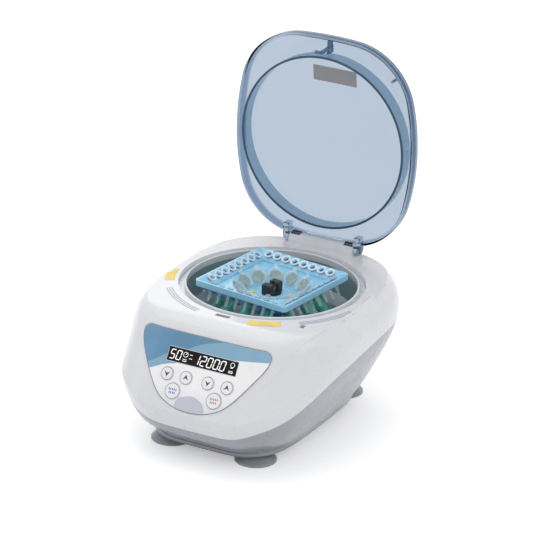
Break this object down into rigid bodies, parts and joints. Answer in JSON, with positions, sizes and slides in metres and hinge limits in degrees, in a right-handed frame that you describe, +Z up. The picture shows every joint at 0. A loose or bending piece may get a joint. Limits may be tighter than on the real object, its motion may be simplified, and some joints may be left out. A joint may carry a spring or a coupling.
{
  "type": "bench mini centrifuge",
  "caption": "Small white and grey bench centrifuge with a clear swing-up lid, control panel and a rotor loaded with tubes.",
  "frame": {"origin": "on the bench, under the middle of the whole object's outline with the lid open", "axes": "-Y towards the front panel, +X to the right seen from the front, +Z up"},
  "size_m": [0.1922, 0.2431, 0.3004],
  "materials": {
    "casing_white": "glossy moulded white",
    "casing_grey": "smooth mid grey moulding",
    "foot_rubber": "semi-translucent grey rubber",
    "steel": "zinc plated",
    "bowl_metal": "satin drawn aluminium",
    "seal_white": "smooth white lip",
    "seal_black": "matt black rubber",
    "board_green": "solder-masked board",
    "chip_black": "moulded black packages",
    "copper": "enamelled copper winding",
    "iron": "laminated iron",
    "bright_aluminium": "extruded",
    "black_plastic": "fine-grained black",
    "blue_plastic": "deep blue moulding",
    "tube_clear": "clear polypropylene",
    "tube_green": "clear green liquid",
    "lid_clear": "clear smoky blue acrylic",
    "lid_grey": "pale grey moulding",
    "lid_seal_blue": "dark blue bead",
    "tray_blue": "pale blue moulding",
    "panel_film": "printed blue and white film",
    "display_glass": "dark glass window",
    "key_white": "white key cap",
    "fuse_glass": "clear glass with metal ends",
    "bearing_steel": "ground steel"
  },
  "bodies": {
    "casing": {"base_pan": "casing_grey", "upper_housing": "casing_white", "rear_panel": "casing_grey", "suction_feet": "foot_rubber", "foot_studs": "steel", "case_screws": "steel", "small_screws": "steel", "chamber_bowl": "bowl_metal", "rim_seal": "seal_white", "spindle_boot": "seal_black", "motor_plate": "steel", "motor_dampers": "seal_black", "motor_screws": "steel", "motor_can": "steel", "motor_bearings": "bearing_steel", "stator_core": "iron", "stator_coils": "copper", "hinge_block": "casing_white", "hinge_pins": "steel", "latch_solenoid": "black_plastic", "latch_bracket": "steel", "lid_switch": "black_plastic", "panel_overlay": "panel_film", "display_window": "display_glass", "display_module": "black_plastic", "key_switches": "black_plastic", "control_board": "board_green", "control_chips": "chip_black", "power_board": "board_green", "power_parts": "chip_black", "heat_sink": "bright_aluminium", "power_inlet": "black_plastic", "inlet_pins": "bearing_steel", "switch_frame": "black_plastic"},
    "lid": {"lid_shell": "lid_clear", "lid_ring_seal": "lid_seal_blue", "lid_hook": "lid_grey", "lid_plate": "lid_grey"},
    "rotor": {"spindle": "bearing_steel", "motor_magnet": "iron", "rotor_seat": "bearing_steel", "rotor_tray": "tray_blue", "rotor_core": "blue_plastic", "round_tubes": "tube_clear", "tube_liquid": "tube_green", "tube_caps": "tube_clear", "tube_strips": "tube_clear"},
    "nut": {"rotor_nut": "black_plastic"},
    "catch": {"latch_catch": "steel"},
    "switch_lever": {"lid_switch_lever": "steel"},
    "drawer": {"fuse_drawer": "black_plastic", "fuses": "fuse_glass"},
    "rocker": {"power_rocker": "black_plastic"},
    "key_time_down": {"key_time_down": "key_white"},
    "key_time_up": {"key_time_up": "key_white"},
    "key_speed_down": {"key_speed_down": "key_white"},
    "key_speed_up": {"key_speed_up": "key_white"},
    "key_short_spin": {"key_short_spin": "key_white"},
    "key_start_stop": {"key_start_stop": "key_white"}
  },
  "joints": [
    {"name": "lid_hinge", "type": "hinge", "parent": "casing", "child": "lid", "pos_m": [0, 0.1068, 0.1182], "axis": [1, 0, 0], "range_deg": [0, 90]},
    {"name": "rotor_spin", "type": "hinge", "parent": "casing", "child": "rotor", "pos_m": [0, 0.0164, 0.088], "axis": [0, 0, 1], "continuous": true},
    {"name": "nut_turn", "type": "hinge", "parent": "rotor", "child": "nut", "pos_m": [0, 0.0164, 0.1015], "axis": [0, 0, 1], "continuous": true},
    {"name": "key_time_down_press", "type": "slide", "parent": "casing", "child": "key_time_down", "axis": [0, 0.8634, -0.5045], "range_m": [0, 0.00025], "stiffness_N_per_m": 600},
    {"name": "key_time_up_press", "type": "slide", "parent": "casing", "child": "key_time_up", "axis": [0, 0.8634, -0.5045], "range_m": [0, 0.00025], "stiffness_N_per_m": 600},
    {"name": "key_speed_down_press", "type": "slide", "parent": "casing", "child": "key_speed_down", "axis": [0, 0.8634, -0.5045], "range_m": [0, 0.00025], "stiffness_N_per_m": 600},
    {"name": "key_speed_up_press", "type": "slide", "parent": "casing", "child": "key_speed_up", "axis": [0, 0.8634, -0.5045], "range_m": [0, 0.00025], "stiffness_N_per_m": 600},
    {"name": "key_short_spin_press", "type": "slide", "parent": "casing", "child": "key_short_spin", "axis": [0, 0.8634, -0.5045], "range_m": [0, 0.00025], "stiffness_N_per_m": 600},
    {"name": "key_start_stop_press", "type": "slide", "parent": "casing", "child": "key_start_stop", "axis": [0, 0.8634, -0.5045], "range_m": [0, 0.00025], "stiffness_N_per_m": 600},
    {"name": "latch_slide", "type": "slide", "parent": "casing", "child": "catch", "axis": [1, 0, 0], "range_m": [0, 0.003], "stiffness_N_per_m": 120},
    {"name": "switch_lever_tilt", "type": "hinge", "parent": "casing", "child": "switch_lever", "pos_m": [0.0544, -0.0493, 0.1063], "axis": [0, 1, 0], "range_deg": [0, 5], "stiffness_Nm_per_rad": 0.02},
    {"name": "drawer_pull", "type": "slide", "parent": "casing", "child": "drawer", "axis": [0, 1, 0], "range_m": [0, 0.022]},
    {"name": "rocker_tilt", "type": "hinge", "parent": "casing", "child": "rocker", "pos_m": [-0.02, 0.0924, 0.053], "axis": [1, 0, 0], "range_deg": [0, 13]}
  ]
}
